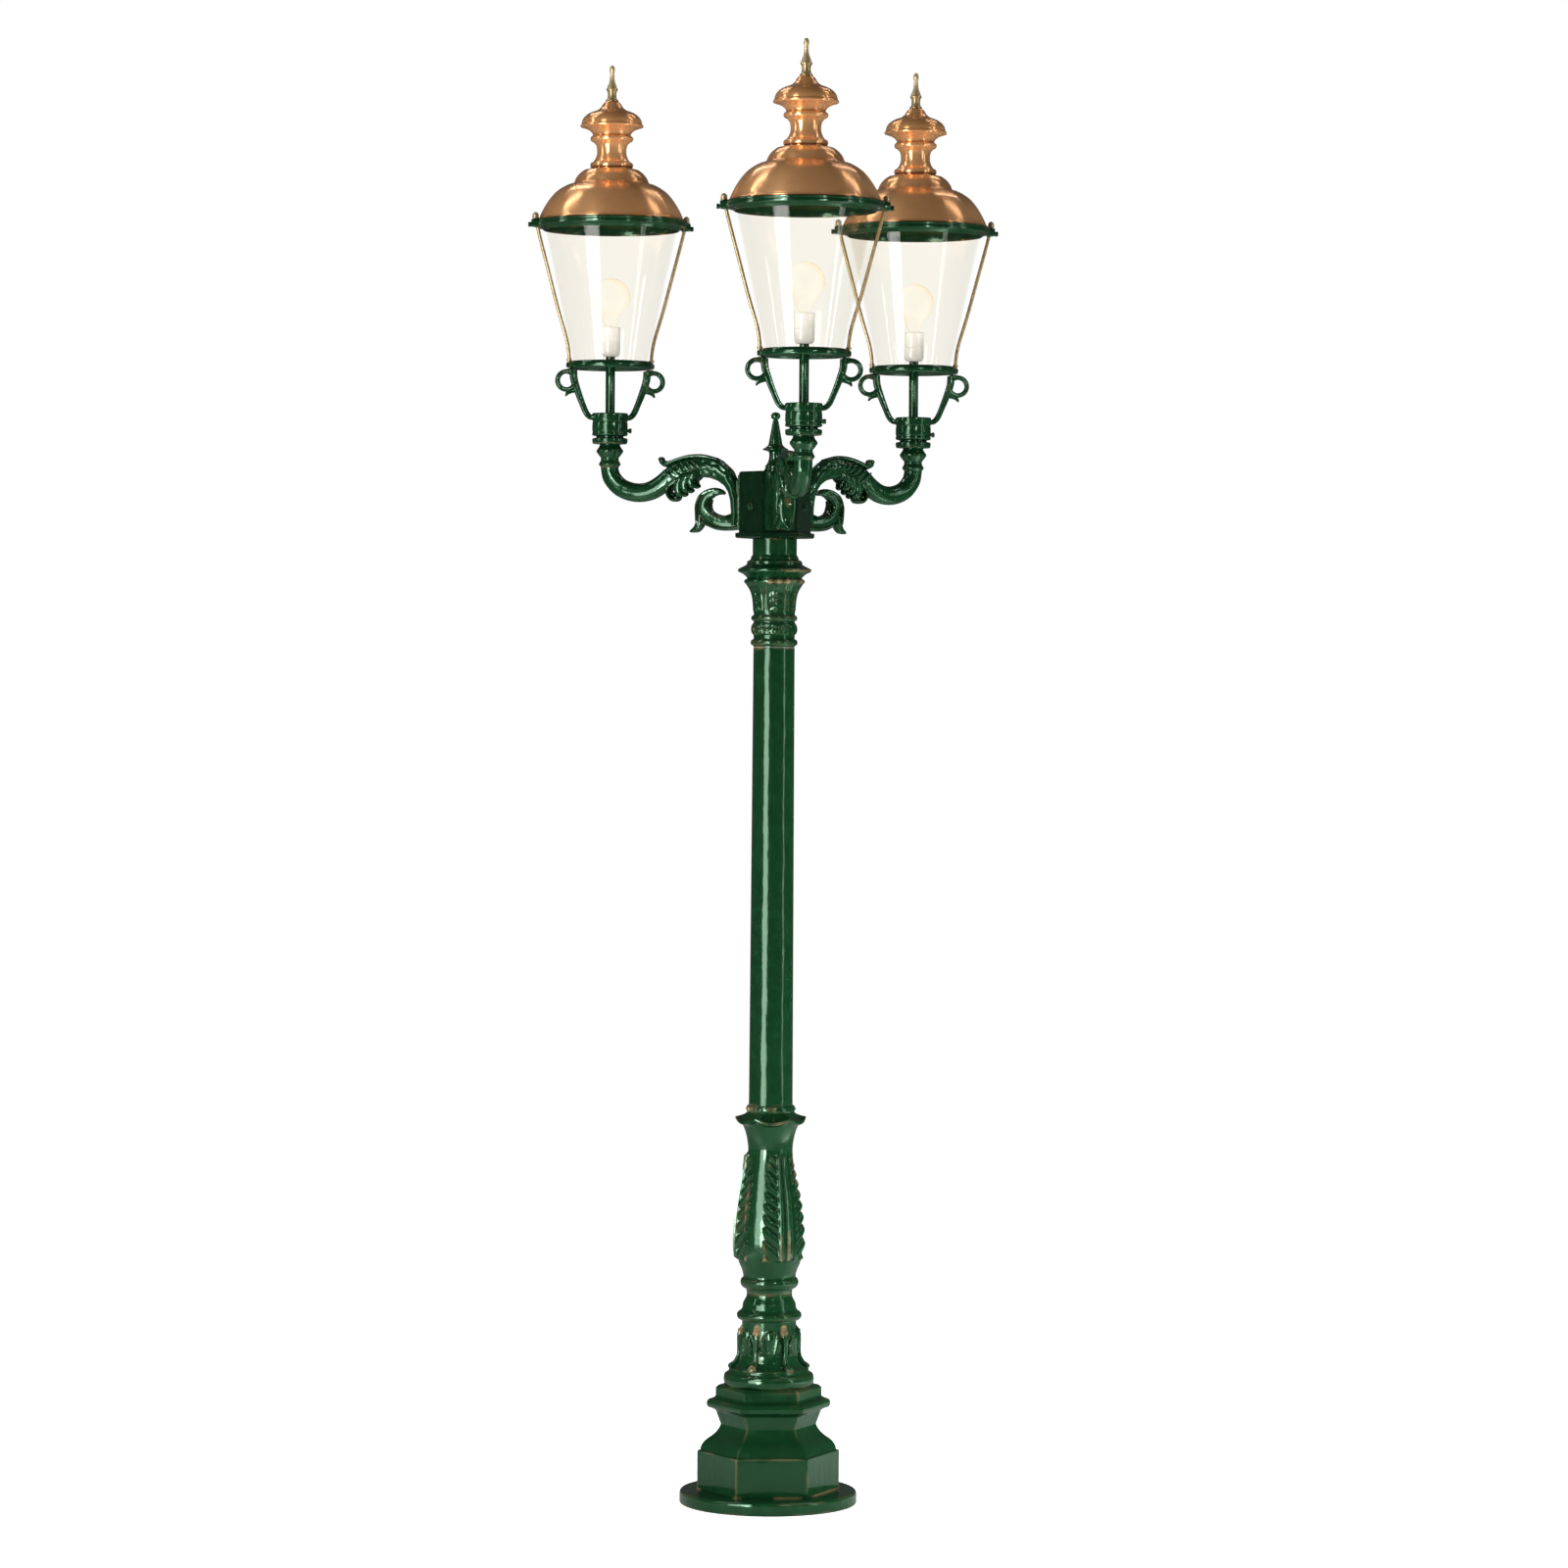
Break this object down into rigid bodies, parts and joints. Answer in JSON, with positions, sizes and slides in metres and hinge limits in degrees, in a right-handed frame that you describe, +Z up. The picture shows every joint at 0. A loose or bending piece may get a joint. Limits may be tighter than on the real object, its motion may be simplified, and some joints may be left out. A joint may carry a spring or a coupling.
{
  "type": "street lamp",
  "caption": "Cast street lamp with scrolled arms on an ornamental column, each carrying a round glass lantern under a spun copper hood.",
  "frame": {"origin": "centre of the base flange's underside, on the ground", "axes": "+Z up the column; -Y along the front arm; +X to the right when the front arm points at the viewer"},
  "size_m": [1.169, 1.027, 3.5],
  "materials": {
    "green_paint": "gloss bottle green",
    "copper": "satin spun copper",
    "brass": "polished, slightly dulled",
    "steel": "zinc plated",
    "clear_glass": "clear, faint ivory tint",
    "bulb_glass": "frosted, warm",
    "white_ceramic": "glazed white",
    "dark_plastic": "moulded"
  },
  "bodies": {
    "post": {"base_flange": "green_paint", "pedestal": "green_paint", "door_hinge_pin": "steel", "terminal_box": "dark_plastic", "leaf_collar": "green_paint", "baluster": "green_paint", "shaft": "green_paint", "capital": "green_paint", "hub": "green_paint", "hub_finial": "green_paint", "arm_front": "green_paint", "arm_right": "green_paint", "arm_left": "green_paint"},
    "door": {"service_door": "green_paint"},
    "key_screw": {"door_screw": "steel"},
    "lantern_front": {"fork_front": "green_paint", "set_screw_front": "green_paint", "conduit_front": "green_paint", "gallery_front": "green_paint", "glass_front": "clear_glass", "tie_rod_a_front": "brass", "tie_rod_b_front": "brass", "top_ring_front": "green_paint", "ring_screw_a_front": "green_paint", "ring_screw_b_front": "green_paint", "lampholder_front": "white_ceramic"},
    "roof_front": {"hood_front": "copper", "crown_front": "copper", "finial_front": "brass"},
    "lamp_front": {"bulb_front": "bulb_glass"},
    "lantern_right": {"fork_right": "green_paint", "set_screw_right": "green_paint", "conduit_right": "green_paint", "gallery_right": "green_paint", "glass_right": "clear_glass", "tie_rod_a_right": "brass", "tie_rod_b_right": "brass", "top_ring_right": "green_paint", "ring_screw_a_right": "green_paint", "ring_screw_b_right": "green_paint", "lampholder_right": "white_ceramic"},
    "roof_right": {"hood_right": "copper", "crown_right": "copper", "finial_right": "brass"},
    "lamp_right": {"bulb_right": "bulb_glass"},
    "lantern_left": {"fork_left": "green_paint", "set_screw_left": "green_paint", "conduit_left": "green_paint", "gallery_left": "green_paint", "glass_left": "clear_glass", "tie_rod_a_left": "brass", "tie_rod_b_left": "brass", "top_ring_left": "green_paint", "ring_screw_a_left": "green_paint", "ring_screw_b_left": "green_paint", "lampholder_left": "white_ceramic"},
    "roof_left": {"hood_left": "copper", "crown_left": "copper", "finial_left": "brass"},
    "lamp_left": {"bulb_left": "bulb_glass"}
  },
  "joints": [
    {"name": "door_swing", "type": "hinge", "parent": "post", "child": "door", "pos_m": [0.08096, 0.1503, 0.079], "axis": [0, 0, -1], "range_deg": [0, 110]},
    {"name": "key_screw_turn", "type": "hinge", "parent": "door", "child": "key_screw", "pos_m": [-0.02924, 0.1531, 0.079], "axis": [0.0906, 0.9959, 0], "range_deg": [0, 720]},
    {"name": "lantern_front_swivel", "type": "hinge", "parent": "post", "child": "lantern_front", "pos_m": [0, -0.436, 2.6], "axis": [0, 0, 1], "range_deg": [-170, 170]},
    {"name": "roof_front_lift", "type": "slide", "parent": "lantern_front", "child": "roof_front", "axis": [0, 0, 1], "range_m": [0, 0.12]},
    {"name": "lamp_front_turn", "type": "hinge", "parent": "lantern_front", "child": "lamp_front", "pos_m": [0, -0.436, 2.85], "axis": [0, 0, 1], "range_deg": [0, 1080]},
    {"name": "lantern_right_swivel", "type": "hinge", "parent": "post", "child": "lantern_right", "pos_m": [0.37759, 0.218, 2.6], "axis": [0, 0, 1], "range_deg": [-170, 170]},
    {"name": "roof_right_lift", "type": "slide", "parent": "lantern_right", "child": "roof_right", "axis": [0, 0, 1], "range_m": [0, 0.12]},
    {"name": "lamp_right_turn", "type": "hinge", "parent": "lantern_right", "child": "lamp_right", "pos_m": [0.37759, 0.218, 2.85], "axis": [0, 0, 1], "range_deg": [0, 1080]},
    {"name": "lantern_left_swivel", "type": "hinge", "parent": "post", "child": "lantern_left", "pos_m": [-0.37759, 0.218, 2.6], "axis": [0, 0, 1], "range_deg": [-170, 170]},
    {"name": "roof_left_lift", "type": "slide", "parent": "lantern_left", "child": "roof_left", "axis": [0, 0, 1], "range_m": [0, 0.12]},
    {"name": "lamp_left_turn", "type": "hinge", "parent": "lantern_left", "child": "lamp_left", "pos_m": [-0.37759, 0.218, 2.85], "axis": [0, 0, 1], "range_deg": [0, 1080]}
  ]
}
